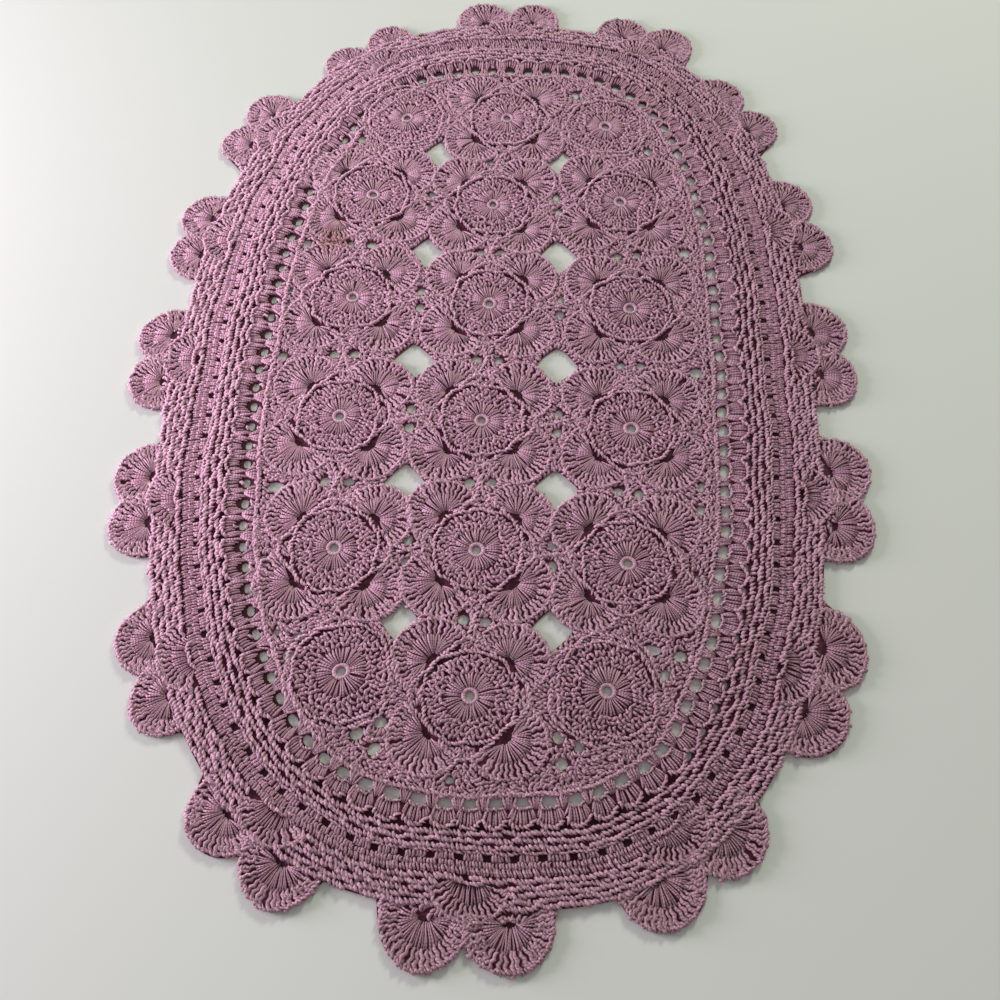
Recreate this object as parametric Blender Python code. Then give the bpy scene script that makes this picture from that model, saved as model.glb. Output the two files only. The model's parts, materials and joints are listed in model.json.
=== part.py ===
"""An oval crocheted cotton doily, lying flat.

Eighteen round motifs are joined in six rows. A border is worked around them: a row of small shells,
chain rows, a band of posts, more chain rows, and sixteen scallops of two lobes each. It is one piece
of cotton, so it is one sheet: flat below, with the motifs, fans, rings and lobes raised on its top,
and with its larger gaps cut through.

All sizes are in millimetres, and the mesh is scaled to metres when it is made. The plan frame has
+X to the right and +Y to the far end. Its origin is moved to the middle of the outline at the end.
"""

import math

import bmesh
import bpy
import numpy as np
from mathutils import Vector
from mathutils.geometry import delaunay_2d_cdt

MM = 0.001

# The oval band, without its scallops.
BAND_CENTRE = (0.5, 146.5)
BAND_HALF_WIDTH = 137.5
BAND_HALF_LENGTH = 216.0
# How square each corner of the oval is: 2 is an ellipse, and more is fuller.
BAND_SQUARENESS = {
    "right far": 2.75,
    "left far": 2.42,
    "left near": 2.43,
    "right near": 2.8,
}
# The rows of the band are this much narrower at the two ends than along the sides.
END_NARROWING = 0.14

# The motifs: the middle of each, and whether four fans surround its medallion.
MOTIFS = [
    # x, y, has fans
    (-48.6, 9.4, False),
    (-0.7, 2.0, True),
    (49.7, 6.7, False),
    (-57.3, 58.3, True),
    (-0.7, 61.0, True),
    (57.5, 57.5, True),
    (-62.5, 119.5, True),
    (-2.3, 119.7, True),
    (60.3, 118.8, True),
    (-64.0, 181.8, True),
    (-2.3, 180.8, True),
    (60.5, 180.3, True),
    (-61.7, 242.7, True),
    (-3.7, 238.5, True),
    (56.7, 242.2, True),
    (-49.5, 294.2, False),
    (0.0, 295.0, True),
    (49.4, 291.3, False),
]

# A medallion, from its middle outwards.
EYE_RADIUS = 2.5
EYE_POINTS = 6
MEDALLION_RINGS = [
    # radius, points, height, height of every second point
    (9.2, 12, 2.1, 2.1),
    (10.3, 12, 1.3, 1.3),
    (14.8, 24, 2.5, 1.7),
    (18.6, 12, 1.4, 1.4),
]

# A fan at each corner of a motif: where its slot lies, and its rows from the slot outwards.
FAN_REACH = 20.8
FAN_HALF_SPREAD = math.radians(108)
FAN_ROWS = [
    # radius, points, height, height of every second point
    (7.5, 5, 2.2, 2.2),
    (11.2, 5, 1.4, 1.4),
    (13.8, 7, 2.0, 1.5),
]

# The large square gaps that stand on a corner between four motifs.
DIAMONDS = [
    # x, y, half width, half height
    (-29.2, 30.4, 7.4, 8.5),
    (29.0, 29.0, 8.0, 8.8),
    (-32.0, 89.0, 9.0, 9.2),
    (29.0, 89.0, 9.0, 9.2),
    (-33.5, 149.5, 9.2, 9.0),
    (29.0, 149.0, 9.2, 9.2),
    (-32.0, 209.0, 9.0, 9.2),
    (28.0, 208.5, 9.0, 9.2),
    (-31.5, 270.0, 7.6, 8.6),
    (28.0, 266.5, 7.4, 8.6),
]
DIAMOND_POINTS = 8
DIAMOND_SQUARENESS = 1.15

# The two gaps beside each join of neighbouring motifs.
JOIN_GAP_APART = 9.0
JOIN_GAP_WIDTH = 4.2
JOIN_GAP_LENGTH = 5.0
LONGEST_JOIN = 66.0

# The gaps between the motifs and the shells.
EDGE_GAPS = [
    # x, y, width, height
    (-84.5, 52.5, 5.0, 5.0),
    (87.0, 52.0, 6.0, 4.5),
    (-85.0, 85.0, 8.0, 5.0),
    (-91.5, 148.0, 5.0, 5.5),
    (-89.0, 212.0, 5.0, 5.5),
    (-93.0, 184.0, 4.5, 5.0),
    (-93.0, 176.5, 4.5, 5.0),
    (86.0, 213.0, 5.0, 6.0),
    (88.0, 147.5, 6.0, 5.0),
    (89.0, 92.0, 5.0, 5.0),
    (88.0, 82.0, 5.0, 4.5),
    (-69.0, 15.0, 5.0, 5.0),
    (-66.0, 23.0, 5.0, 4.5),
    (-40.5, -12.5, 5.0, 5.0),
    (-33.5, -18.5, 5.0, 5.0),
    (-33.0, -8.5, 5.0, 4.5),
    (66.0, 23.0, 9.0, 4.2),
    (77.0, 21.0, 5.0, 4.5),
    (72.0, 13.5, 5.0, 5.0),
    (32.5, -10.5, 4.5, 5.0),
    (40.0, -14.0, 4.5, 5.0),
    (33.0, -20.0, 5.0, 5.0),
    (33.5, 313.0, 5.0, 5.5),
    (-37.0, 311.0, 5.0, 5.5),
    (-70.5, 279.0, 5.0, 5.0),
    (70.5, 277.0, 5.0, 5.0),
]
EDGE_GAP_POINTS = 6

# The shells around the field. Each is a small fan over a gap.
SHELL_COUNT = 103
SHELL_GAP_INSET = 38.5
SHELL_GAP_WIDTH = 3.6
SHELL_GAP_LENGTH = 4.8
SHELL_TOP_INSET = 33.5
SHELL_TOP = 2.2

# The rows of the band, from its outer edge inwards.
BAND_ROWS = [
    # inset, points, height, height of every second point
    (1.8, 44, 1.9, 1.9),
    (3.5, 44, 1.3, 1.3),
    (5.3, 44, 2.0, 2.0),
    (7.3, 44, 1.3, 1.3),
    (9.3, 44, 1.9, 1.9),
    (11.3, 44, 1.3, 1.3),
    (15.0, 44, 2.2, 2.2),
    (19.2, 110, 1.8, 1.0),
    (22.8, 44, 1.9, 1.9),
    (25.2, 44, 1.3, 1.3),
    (27.4, 44, 1.9, 1.9),
    (30.4, 44, 1.2, 1.2),
]

# The scallops: the middle of the line between the two lobes, the way it faces in degrees from +X,
# how far the lobes' slots are apart, and the lobes' radius.
SCALLOPS = [
    # x, y, faces, apart, radius
    (-1.5, 366.0, 90.0, 25.5, 14.0),
    (69.5, 353.0, 70.0, 23.5, 14.0),
    (113.0, 302.0, 36.0, 26.0, 13.5),
    (136.0, 231.5, 16.0, 26.0, 14.5),
    (141.0, 159.5, 5.0, 24.0, 15.0),
    (140.5, 89.5, -2.5, 24.0, 16.0),
    (126.0, 13.8, -20.0, 26.5, 16.0),
    (78.5, -49.2, -51.0, 28.0, 15.8),
    (3.0, -73.0, -90.0, 28.0, 16.0),
    (-71.5, -50.2, -125.5, 26.0, 15.0),
    (-116.0, 8.0, -155.5, 24.0, 14.5),
    (-135.0, 77.0, -174.5, 22.0, 14.5),
    (-141.0, 145.5, 180.0, 23.0, 14.0),
    (-136.5, 214.0, 177.5, 22.0, 13.5),
    (-121.0, 283.0, 158.0, 22.0, 13.5),
    (-72.0, 338.5, 130.0, 25.0, 12.8),
]
LOBE_ROWS = [
    # share of the lobe's radius, points, height
    (0.50, 5, 2.2),
    (0.78, 5, 1.5),
]
LOBE_HALF_SPREAD = math.radians(100)

# The thickness of the cotton where nothing is raised.
EDGE_THICKNESS = 1.3
EYE_LIP_THICKNESS = 2.0
SLOT_THICKNESS = 1.0

# How finely the outline is read, and how far a point may lie from it and still be left out.
OUTLINE_STEPS = 1440
OUTLINE_TOLERANCE = 0.3
# How near a raised point may lie to a gap or to the edge.
LEAST_MARGIN = 0.9
# Triangulation treats two points this near as one.
SAME_POINT = 1e-5

# The cotton's colour, in linear light.
COTTON_COLOUR = (0.36, 0.15, 0.27, 1.0)
COTTON_ROUGHNESS = 0.9


def corner_squareness(angle):
    """The squareness of the corner of the oval that a direction from its middle points to."""
    side = "right" if math.cos(angle) > 0 else "left"
    end = "far" if math.sin(angle) > 0 else "near"
    return BAND_SQUARENESS[f"{side} {end}"]


def band_radius(angle):
    """How far the band's outer edge lies from the middle of the oval."""
    power = corner_squareness(angle)
    across = abs(math.cos(angle) / BAND_HALF_WIDTH) ** power
    along = abs(math.sin(angle) / BAND_HALF_LENGTH) ** power
    return (across + along) ** (-1 / power)


def band_normal(angle):
    """The direction that points out of the band's edge."""
    power = corner_squareness(angle)
    radius = band_radius(angle)
    x = radius * math.cos(angle)
    y = radius * math.sin(angle)
    normal = Vector((
        math.copysign(abs(x / BAND_HALF_WIDTH) ** (power - 1) / BAND_HALF_WIDTH, x),
        math.copysign(abs(y / BAND_HALF_LENGTH) ** (power - 1) / BAND_HALF_LENGTH, y),
    ))
    return normal.normalized()


def band_point(angle, inset):
    """A point of the row that lies `inset` inside the band's edge."""
    radius = band_radius(angle)
    edge = Vector(BAND_CENTRE) + Vector((math.cos(angle), math.sin(angle))) * radius
    normal = band_normal(angle)
    return edge - normal * inset * (1 - END_NARROWING * abs(normal.y))


def even_angles(count, inset):
    """Directions from the oval's middle that divide one row of the band into equal lengths."""
    steps = OUTLINE_STEPS
    path = [band_point(math.tau * i / steps, inset) for i in range(steps + 1)]
    reached = [0.0]
    for start, end in zip(path, path[1:]):
        reached.append(reached[-1] + (end - start).length)
    angles = []
    step = 0
    for i in range(count):
        wanted = reached[-1] * i / count
        while reached[step + 1] < wanted:
            step += 1
        share = (wanted - reached[step]) / (reached[step + 1] - reached[step])
        angles.append(math.tau * (step + share) / steps)
    return angles


def lobes():
    """The two lobes of each scallop: the slot's place, the radius and the way it faces."""
    result = []
    for x, y, faces, apart, radius in SCALLOPS:
        facing = math.radians(faces)
        along = Vector((-math.sin(facing), math.cos(facing)))
        for side in (-1, 1):
            result.append((Vector((x, y)) + along * side * apart / 2, radius, facing))
    return result


def far_crossing(start, direction, centre, radius):
    """How far along a ray it leaves a circle, or zero where it misses the circle."""
    offset = centre - start
    along = offset.dot(direction)
    gap_squared = radius ** 2 - (offset.length_squared - along ** 2)
    if gap_squared < 0:
        return 0.0
    return along + math.sqrt(gap_squared)


def simplified(points, tolerance):
    """The points of an open line that its shape needs."""
    start, end = points[0], points[-1]
    line = end - start
    farthest, at = 0.0, None
    for i, point in enumerate(points[1:-1], 1):
        offset = point - start
        if line.length > SAME_POINT:
            distance = abs(line.x * offset.y - line.y * offset.x) / line.length
        else:
            distance = offset.length
        if distance > farthest:
            farthest, at = distance, i
    if farthest <= tolerance:
        return [start, end]
    return simplified(points[:at + 1], tolerance)[:-1] + simplified(points[at:], tolerance)


def doily_outline():
    """The band and the lobes seen from above, as one loop of points."""
    middle = Vector(BAND_CENTRE)
    circles = lobes()
    points = []
    for i in range(OUTLINE_STEPS + 1):
        angle = math.tau * i / OUTLINE_STEPS
        direction = Vector((math.cos(angle), math.sin(angle)))
        reach = band_radius(angle)
        for centre, radius, _ in circles:
            reach = max(reach, far_crossing(middle, direction, centre, radius))
        points.append(middle + direction * reach)
    half = OUTLINE_STEPS // 2
    first = simplified(points[:half + 1], OUTLINE_TOLERANCE)
    second = simplified(points[half:], OUTLINE_TOLERANCE)
    return first[:-1] + second[:-1]


def oval(centre, half_width, half_length, count, turn=0.0, squareness=2.0):
    """A loop of points around an ellipse, or around a diamond where the squareness is near 1."""
    loop = []
    for i in range(count):
        angle = math.tau * i / count
        x = half_width * math.copysign(abs(math.cos(angle)) ** (2 / squareness), math.cos(angle))
        y = half_length * math.copysign(abs(math.sin(angle)) ** (2 / squareness), math.sin(angle))
        loop.append(Vector(centre) + Vector((
            x * math.cos(turn) - y * math.sin(turn),
            x * math.sin(turn) + y * math.cos(turn),
        )))
    return loop


def joined_motifs():
    """Pairs of neighbouring motifs that both have fans."""
    pairs = []
    for i, first in enumerate(MOTIFS):
        for second in MOTIFS[i + 1:]:
            gap = (Vector(second[:2]) - Vector(first[:2])).length
            if first[2] and second[2] and gap < LONGEST_JOIN:
                pairs.append((Vector(first[:2]), Vector(second[:2])))
    return pairs


def gap_loops():
    """Every gap that is cut through, with the thickness of the cotton around it."""
    gaps = []
    for x, y, _ in MOTIFS:
        gaps.append((oval((x, y), EYE_RADIUS, EYE_RADIUS, EYE_POINTS), EYE_LIP_THICKNESS))
    for x, y, half_width, half_height in DIAMONDS:
        loop = oval((x, y), half_width, half_height, DIAMOND_POINTS, squareness=DIAMOND_SQUARENESS)
        gaps.append((loop, EDGE_THICKNESS))
    for first, second in joined_motifs():
        along = (second - first).normalized()
        across = Vector((-along.y, along.x))
        turn = math.atan2(across.y, across.x)
        for side in (-1, 1):
            middle = (first + second) / 2 + across * side * JOIN_GAP_APART / 2
            loop = oval(middle, JOIN_GAP_LENGTH / 2, JOIN_GAP_WIDTH / 2, 4, turn)
            gaps.append((loop, EDGE_THICKNESS))
    for x, y, width, height in EDGE_GAPS:
        gaps.append((oval((x, y), width / 2, height / 2, EDGE_GAP_POINTS), EDGE_THICKNESS))
    for angle in even_angles(SHELL_COUNT, SHELL_GAP_INSET):
        normal = band_normal(angle)
        turn = math.atan2(normal.y, normal.x)
        middle = band_point(angle, SHELL_GAP_INSET)
        gaps.append((oval(middle, SHELL_GAP_LENGTH / 2, SHELL_GAP_WIDTH / 2, 4, turn), EDGE_THICKNESS))
    return gaps


def arc(centre, radius, facing, half_spread, count):
    """Points spread evenly over an arc around a centre."""
    points = []
    for i in range(count):
        angle = facing + half_spread * (2 * i / (count - 1) - 1)
        points.append(Vector(centre) + Vector((math.cos(angle), math.sin(angle))) * radius)
    return points


def raised(points, height, second_height=None):
    """A line of raised points: each point with the height of the cotton there."""
    second = height if second_height is None else second_height
    return [(point, second if i % 2 else height) for i, point in enumerate(points)]


def medallion_relief(centre):
    """The rounds of one medallion, with the bumps of its outer round."""
    lines = []
    for radius, count, height, second_height in MEDALLION_RINGS:
        ring = oval(centre, radius, radius, count)
        lines.append(raised(ring + ring[:1], height, second_height))
    return lines


def fan_relief(centre):
    """The four fans at the corners of one motif."""
    lines = []
    for corner in range(4):
        facing = math.pi / 4 + math.pi / 2 * corner
        slot = Vector(centre) + Vector((math.cos(facing), math.sin(facing))) * FAN_REACH
        lines.append(raised([slot], SLOT_THICKNESS))
        for radius, count, height, second_height in FAN_ROWS:
            lines.append(raised(arc(slot, radius, facing, FAN_HALF_SPREAD, count), height, second_height))
    return lines


def band_relief():
    """The rows of the band and the tops of the shells."""
    lines = []
    for inset, count, height, second_height in BAND_ROWS:
        row = [band_point(angle, inset) for angle in even_angles(count, inset)]
        lines.append(raised(row + row[:1], height, second_height))
    for angle in even_angles(SHELL_COUNT, SHELL_GAP_INSET):
        lines.append(raised([band_point(angle, SHELL_TOP_INSET)], SHELL_TOP))
    return lines


def beyond_the_band(point):
    """Whether a point lies outside the oval band."""
    offset = point - Vector(BAND_CENTRE)
    return offset.length > band_radius(math.atan2(offset.y, offset.x))


def scallop_relief():
    """The rows of each lobe of the scallops, as far as the band's edge."""
    lines = []
    for slot, radius, facing in lobes():
        lines.append(raised([slot], SLOT_THICKNESS))
        for share, count, height in LOBE_ROWS:
            row = arc(slot, radius * share, facing, LOBE_HALF_SPREAD, count)
            lines.append(raised([point for point in row if beyond_the_band(point)], height))
    return lines


def inside(point, loop):
    """Whether a point lies within a closed loop."""
    within = False
    for start, end in zip(loop, loop[1:] + loop[:1]):
        if (start.y > point.y) != (end.y > point.y):
            crossing = start.x + (point.y - start.y) / (end.y - start.y) * (end.x - start.x)
            if point.x < crossing:
                within = not within
    return within


def distance_to_loop(point, loop):
    """How far a point lies from the nearest side of a closed loop."""
    nearest = math.inf
    for start, end in zip(loop, loop[1:] + loop[:1]):
        side = end - start
        share = max(0.0, min(1.0, (point - start).dot(side) / side.length_squared))
        nearest = min(nearest, (point - start - side * share).length)
    return nearest


def on_the_cotton(point, outline, gaps):
    """Whether a raised point lies on the sheet, clear of its edge and its gaps."""
    if not inside(point, outline) or distance_to_loop(point, outline) < LEAST_MARGIN:
        return False
    for loop, _ in gaps:
        if abs(loop[0].x - point.x) > 25 or abs(loop[0].y - point.y) > 25:
            continue
        if inside(point, loop) or distance_to_loop(point, loop) < LEAST_MARGIN:
            return False
    return True


def closed_edges(loop):
    """The sides of a closed loop of point numbers."""
    return list(zip(loop, loop[1:] + loop[:1]))


def turning(start, end, point):
    """Positive where a point lies to the left of the line from start to end, negative to its right."""
    along = end - start
    offset = point - start
    return along[..., 0] * offset[..., 1] - along[..., 1] * offset[..., 0]


def crosses(edge, others, places):
    """Whether one line between two points crosses any of the others."""
    start, end = places[edge[0]], places[edge[1]]
    starts, ends = places[[other[0] for other in others]], places[[other[1] for other in others]]
    parted_by_edge = turning(start, end, starts) * turning(start, end, ends) < 0
    parted_by_other = turning(starts, ends, start) * turning(starts, ends, end) < 0
    return bool(np.any(parted_by_edge & parted_by_other))


def triangles_between(points, loops, ridges):
    """Triangles that fill the outline, follow the ridges and leave the gaps open."""
    edges = [edge for loop in loops for edge in closed_edges(loop)] + ridges
    inside_the_outline = 1
    placed, _, faces, *_ = delaunay_2d_cdt(points, edges, [], inside_the_outline, SAME_POINT)
    if len(placed) != len(points):
        raise ValueError("two lines of the plan cross")
    gap_of = {i: number for number, loop in enumerate(loops) if number for i in loop}
    kept = []
    for face in faces:
        gaps_touched = {gap_of.get(i) for i in face}
        if gaps_touched == {None} or len(gaps_touched) > 1:
            kept.append(face)
    return kept


def build_doily():
    """The whole sheet as one closed mesh."""
    outline = doily_outline()
    gaps = gap_loops()
    points = []
    heights = []
    loops = []
    for loop, height in [(outline, EDGE_THICKNESS)] + gaps:
        loops.append(list(range(len(points), len(points) + len(loop))))
        points += loop
        heights += [height] * len(loop)
    rim_count = len(points)

    lines = band_relief() + scallop_relief()
    for x, y, has_fans in MOTIFS:
        lines += medallion_relief((x, y))
        if has_fans:
            lines += fan_relief((x, y))
    numbers = {}
    wanted_ridges = []
    for line in lines:
        before = None
        for point, height in line:
            key = point.to_tuple(4)
            if key not in numbers and on_the_cotton(point, outline, gaps):
                numbers[key] = len(points)
                points.append(point)
                heights.append(height)
            number = numbers.get(key)
            if before is not None and number is not None:
                wanted_ridges.append((before, number))
            before = number
    places = np.array([tuple(point) for point in points])
    fixed = [edge for loop in loops for edge in closed_edges(loop)]
    ridges = []
    for edge in wanted_ridges:
        if not crosses(edge, fixed + ridges, places):
            ridges.append(edge)

    top = triangles_between(points, loops, ridges)
    bottom = triangles_between(points[:rim_count], loops, [])

    low = Vector((min(p.x for p in outline), min(p.y for p in outline)))
    high = Vector((max(p.x for p in outline), max(p.y for p in outline)))
    middle = (low + high) / 2
    mesh = bmesh.new()
    upper = []
    for point, height in zip(points, heights):
        upper.append(mesh.verts.new(Vector((*(point - middle), height)) * MM))
    lower = []
    for point in points[:rim_count]:
        lower.append(mesh.verts.new(Vector((*(point - middle), 0.0)) * MM))
    for face in top:
        mesh.faces.new([upper[i] for i in face])
    for face in bottom:
        mesh.faces.new([lower[i] for i in reversed(face)])
    for loop in loops:
        for start, end in closed_edges(loop):
            mesh.faces.new([lower[start], lower[end], upper[end], upper[start]])
    bmesh.ops.recalc_face_normals(mesh, faces=mesh.faces)
    bmesh.ops.triangulate(mesh, faces=[face for face in mesh.faces if len(face.verts) > 3])
    return mesh


def cotton():
    """The crocheted cotton."""
    material = bpy.data.materials.new("crochet_cotton")
    material.use_nodes = True
    shader = material.node_tree.nodes["Principled BSDF"]
    shader.inputs["Base Color"].default_value = COTTON_COLOUR
    shader.inputs["Roughness"].default_value = COTTON_ROUGHNESS
    shader.inputs["Metallic"].default_value = 0.0
    material.diffuse_color = COTTON_COLOUR
    return material


def main():
    for old in list(bpy.data.objects):
        bpy.data.objects.remove(old, do_unlink=True)
    mesh = bpy.data.meshes.new("doily")
    shape = build_doily()
    shape.to_mesh(mesh)
    shape.free()
    mesh.materials.append(cotton())
    doily = bpy.data.objects.new("doily", mesh)
    bpy.context.scene.collection.objects.link(doily)


main()
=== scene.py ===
"""An oval crocheted cotton doily, dressed stitch by stitch.

A thin ground sheet of cotton, cut with gaps where the solid has them, carries the stitches. Each kind
of stitch is modelled once: a post, a turn of rope, a curl, a ridge and the ring round an eye. Copies of
them are laid along the rows of the work and joined, one mesh for each group of rows.

Plan positions are in millimetres. +X is to the right and +Y to the far end. The plan's origin is the
middle of the nearest motif, and everything is moved to the frame's origin when a mesh is made.
"""

import itertools
import json
import math

import bpy
import numpy as np
from mathutils import Matrix, Vector
from mathutils.geometry import delaunay_2d_cdt

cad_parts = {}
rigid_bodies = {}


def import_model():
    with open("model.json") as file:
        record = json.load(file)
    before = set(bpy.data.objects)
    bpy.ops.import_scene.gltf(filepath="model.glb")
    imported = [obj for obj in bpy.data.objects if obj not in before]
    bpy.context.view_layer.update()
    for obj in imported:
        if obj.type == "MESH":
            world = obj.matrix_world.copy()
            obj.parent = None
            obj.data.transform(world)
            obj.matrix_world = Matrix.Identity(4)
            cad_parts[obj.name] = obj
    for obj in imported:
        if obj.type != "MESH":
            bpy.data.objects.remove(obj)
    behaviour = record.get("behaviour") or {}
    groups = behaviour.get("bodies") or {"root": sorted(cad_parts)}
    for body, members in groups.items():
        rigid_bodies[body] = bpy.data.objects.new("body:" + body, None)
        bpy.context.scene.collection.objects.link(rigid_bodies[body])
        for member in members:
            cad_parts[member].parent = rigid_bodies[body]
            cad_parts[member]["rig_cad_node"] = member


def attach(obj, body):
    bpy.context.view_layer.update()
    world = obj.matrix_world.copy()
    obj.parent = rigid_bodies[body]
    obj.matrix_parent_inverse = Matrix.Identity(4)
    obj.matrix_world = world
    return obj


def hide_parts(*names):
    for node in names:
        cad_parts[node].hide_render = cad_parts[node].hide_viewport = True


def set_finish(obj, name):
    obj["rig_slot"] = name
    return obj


bl_info = {
    "name": "Crocheted doily",
    "version": (1, 0, 0),
    "blender": (4, 5, 0),
    "location": "View3D > Sidebar > Doily",
    "description": "Works an oval doily of crocheted cotton, stitch by stitch",
    "category": "Add Mesh",
}

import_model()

MM = 0.001
PLAN_MIDDLE = np.array((1.0245, 145.4987))

# The oval band, as in the solid.
BAND_CENTRE = np.array((0.5, 146.5))
BAND_HALF_WIDTH = 137.5
BAND_HALF_LENGTH = 216.0
# How square each corner of the oval is. A corner is right (1) or left (-1), then far (1) or near (-1).
SQUARENESS = {(1, 1): 2.75, (-1, 1): 2.42, (-1, -1): 2.43, (1, -1): 2.8}
# The rows are narrower by this share at the two ends.
END_NARROWING = 0.14
ROW_STEPS = 2880

# The motifs: the middle of each, and whether four fans surround its medallion.
MOTIFS = [
    (-48.6, 9.4, False),
    (-0.7, 2.0, True),
    (49.7, 6.7, False),
    (-57.3, 58.3, True),
    (-0.7, 61.0, True),
    (57.5, 57.5, True),
    (-62.5, 119.5, True),
    (-2.3, 119.7, True),
    (60.3, 118.8, True),
    (-64.0, 181.8, True),
    (-2.3, 180.8, True),
    (60.5, 180.3, True),
    (-61.7, 242.7, True),
    (-3.7, 238.5, True),
    (56.7, 242.2, True),
    (-49.5, 294.2, False),
    (0.0, 295.0, True),
    (49.4, 291.3, False),
]
# Motifs no further apart than this are joined, and the far fans start at this y.
LONGEST_JOIN = 66.0
FAR_FROM = 150.0

# Beside the middle of each join: how far out its two gaps lie, their half sizes, and the crossed chains.
JOIN_GAP_AWAY = 4.5
JOIN_GAP = (2.4, 2.0)
NET_HALF_LENGTH = 7.5
NET_HALF_WIDTH = 2.2

# A medallion, in millimetres out from its middle. Some sizes depend on whether it has fans.
EYE_RADIUS = 2.1
MEDALLION_POSTS = 44
MEDALLION_POSTS_REACH = (3.2, 8.9)
PEBBLE_ROUNDS = {True: (10.3, 12.0, 13.7, 15.4), False: (10.4, 12.3, 14.3, 16.3)}
PEBBLE_PITCH = 1.75
MEDALLION_ROPE = {True: 17.6, False: 18.5}
PLAIN_ROPE = 21.0
SIDE_ROPE_TURN = 0.55
MEDALLION_REACH = 18.9

# The ring round an eye.
RING_RADIUS = 2.6
RING_THICKNESS = 1.64
RING_TOP = 1.85
RING_TURNS = 9
RING_YARN_RADIUS = 2.4
RING_TONE = 0.6
RING_DIFFERS = 0.05

# How far a fan's slot lies from its motif's middle. The sizes after it are those of a fan of size one,
# in millimetres out from its slot.
FAN_REACH = 20.8
FAN_SLOT = (1.3, 2.9)
FAN_POSTS = 30
FAN_POSTS_REACH = 8.4
FAN_RIDGES = 23
FAN_RIDGES_REACH = (8.5, 15.0)
FAN_ROPE_REACH = 14.4
FAN_FULL_SPREAD = 1.85
MOTIF_FAN_SPREAD = math.radians(106)

# A curl of a medallion, and a loose loop.
CURL_WIDTH = 1.75
CURL_HALF_LENGTH = 1.15

# The large square gaps that stand on a corner between four motifs.
DIAMONDS = [
    # x, y, half width, half height
    (-29.2, 30.4, 7.4, 8.5),
    (29.0, 29.0, 8.0, 8.8),
    (-32.0, 89.0, 9.0, 9.2),
    (29.0, 89.0, 9.0, 9.2),
    (-33.5, 149.5, 9.2, 9.0),
    (29.0, 149.0, 9.2, 9.2),
    (-32.0, 209.0, 9.0, 9.2),
    (28.0, 208.5, 9.0, 9.2),
    (-31.5, 270.0, 7.6, 8.6),
    (28.0, 266.5, 7.4, 8.6),
]

# The gaps between the motifs and the shells.
EDGE_GAPS = [
    # x, y, width, height
    (-84.5, 52.5, 5.0, 5.0),
    (87.0, 52.0, 6.0, 4.5),
    (-85.0, 85.0, 8.0, 5.0),
    (-91.5, 148.0, 5.0, 5.5),
    (-89.0, 212.0, 5.0, 5.5),
    (-93.0, 184.0, 4.5, 5.0),
    (-93.0, 176.5, 4.5, 5.0),
    (86.0, 213.0, 5.0, 6.0),
    (88.0, 147.5, 6.0, 5.0),
    (89.0, 92.0, 5.0, 5.0),
    (88.0, 82.0, 5.0, 4.5),
    (-69.0, 15.0, 5.0, 5.0),
    (-66.0, 23.0, 5.0, 4.5),
    (-40.5, -12.5, 5.0, 5.0),
    (-33.5, -18.5, 5.0, 5.0),
    (-33.0, -8.5, 5.0, 4.5),
    (66.0, 23.0, 9.0, 4.2),
    (77.0, 21.0, 5.0, 4.5),
    (72.0, 13.5, 5.0, 5.0),
    (32.5, -10.5, 4.5, 5.0),
    (40.0, -14.0, 4.5, 5.0),
    (33.0, -20.0, 5.0, 5.0),
    (33.5, 313.0, 5.0, 5.5),
    (-37.0, 311.0, 5.0, 5.5),
    (-70.5, 279.0, 5.0, 5.0),
    (70.5, 277.0, 5.0, 5.0),
]

# Smaller gaps, which the stitches leave and the solid doesn't.
SMALL_GAPS = [
    # x, y, width, height
    (-14.0, -26.0, 4.6, 3.0),
    (-6.0, -27.3, 4.0, 2.6),
    (-74.0, 24.0, 3.6, 3.0),
    (92.0, 112.5, 2.4, 3.8),
    (92.0, 103.0, 2.4, 3.6),
]

# The scallops: the middle between the two lobes, the way it faces in degrees, how far the lobes are
# apart, and their radius.
SCALLOPS = [
    (-1.5, 366.0, 90.0, 25.5, 14.0),
    (69.5, 353.0, 70.0, 23.5, 14.0),
    (113.0, 302.0, 36.0, 26.0, 13.5),
    (136.0, 231.5, 16.0, 26.0, 14.5),
    (141.0, 159.5, 5.0, 24.0, 15.0),
    (140.5, 89.5, -2.5, 24.0, 16.0),
    (126.0, 13.8, -20.0, 26.5, 16.0),
    (78.5, -49.2, -51.0, 28.0, 15.8),
    (3.0, -73.0, -90.0, 28.0, 16.0),
    (-71.5, -50.2, -125.5, 26.0, 15.0),
    (-116.0, 8.0, -155.5, 24.0, 14.5),
    (-135.0, 77.0, -174.5, 22.0, 14.5),
    (-141.0, 145.5, 180.0, 23.0, 14.0),
    (-136.5, 214.0, 177.5, 22.0, 13.5),
    (-121.0, 283.0, 158.0, 22.0, 13.5),
    (-72.0, 338.5, 130.0, 25.0, 12.8),
]
# A fan of size one fills a lobe of this radius. The two fans of a pair lean apart, and the base fan lies
# further back, between them.
LOBE_RADIUS = 15.2
LOBE_SPREAD = math.radians(104)
LOBE_LEAN = 0.22
BASE_FAN_BACK = 12.8
BASE_FAN_SIZE = 0.93
BASE_FAN_SPREAD = math.radians(74)
OUTLINE_POINTS = 720

# The rows of the band, by how far they lie inside its edge.
SHELL_COUNT = 103
SHELL_GAP_INSET = 38.5
RIM_INSET = 29.5
FIELD_ROWS = (42.9, 42.9)
RIGHT_NET_INSET = 46.4
INNER_ROWS = (22.2, 24.9, 27.6)
GROUP_ROW = (20.6, 17.6)
HOLE_INSET = 18.9
BAND_GROUPS = 110
POSTS_IN_GROUP = 6
RIB_INSET = 14.8
RIB_PITCH = 1.15
# Where each row of ribs starts and ends, and how far it leans as a share of the pitch.
RIB_ROWS = ((17.3, 14.9, 0.0), (15.0, 12.4, 0.5))
OUTER_ROWS = (1.1, 3.5, 5.9, 8.3, 10.7)

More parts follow.
